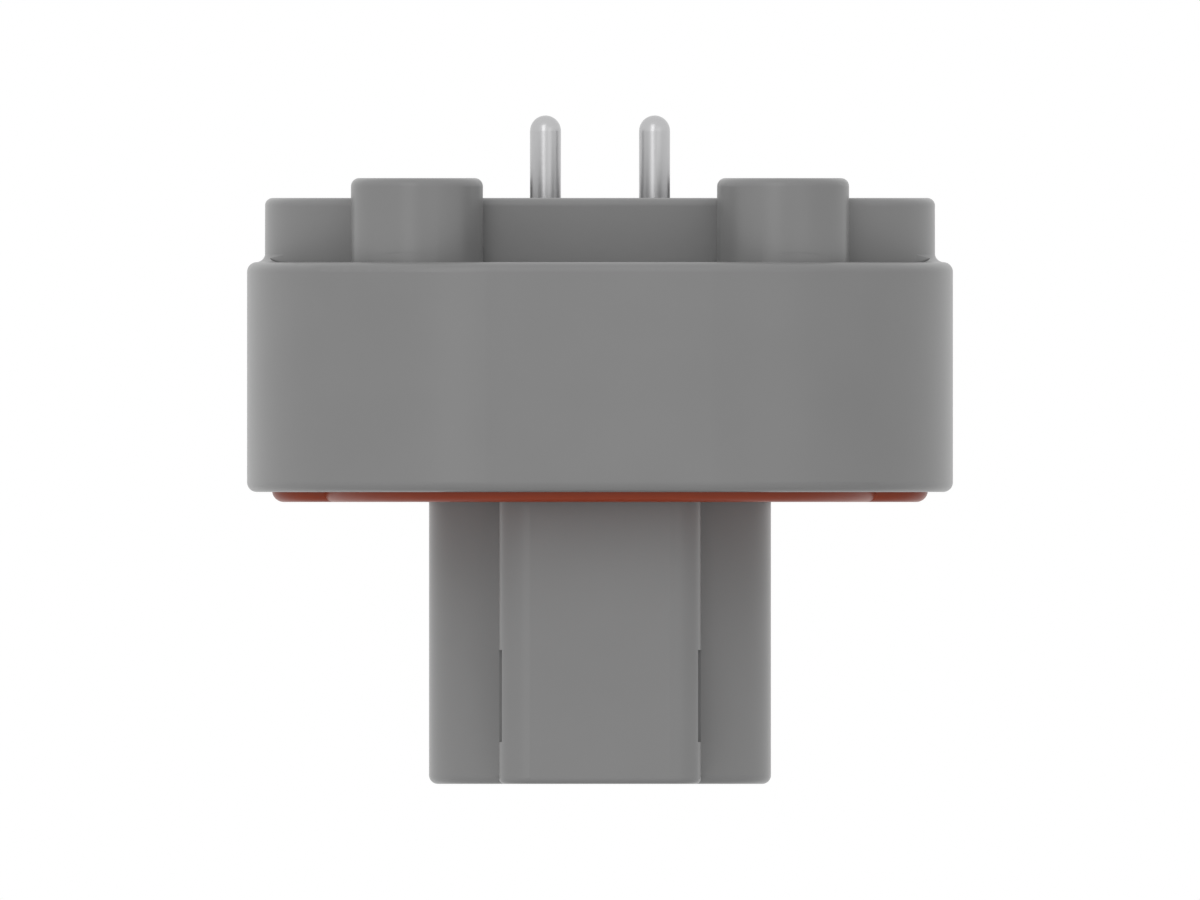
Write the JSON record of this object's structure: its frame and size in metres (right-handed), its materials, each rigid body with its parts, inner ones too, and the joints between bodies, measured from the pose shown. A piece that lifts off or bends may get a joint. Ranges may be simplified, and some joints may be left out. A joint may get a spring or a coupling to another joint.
{
  "type": "pin header",
  "caption": "Sealed board header with a deep round-ended panel flange, a latching plug socket, a flat gasket, contact pins and raised board bosses.",
  "frame": {"origin": "on the panel face of the flange, midway between the axes of the panel screws", "axes": "+X along the flange's length, to the right when the latch channel faces the viewer; -Y towards the latch channel; +Z towards the circuit board, so -Z is the way the plug and the panel screws leave"},
  "size_m": [0.0358, 0.0244, 0.0339],
  "materials": {
    "grey_plastic": "fine moulded texture, satin",
    "gasket_silicone": "smooth moulded silicone",
    "plated_pin": "bright nickel plate",
    "insert_brass": "turned"
  },
  "bodies": {
    "root": {"housing": "grey_plastic", "flange_gasket": "gasket_silicone", "contact_pin_left": "plated_pin", "contact_pin_right": "plated_pin", "threaded_insert_left": "insert_brass", "threaded_insert_right": "insert_brass"}
  },
  "joints": []
}
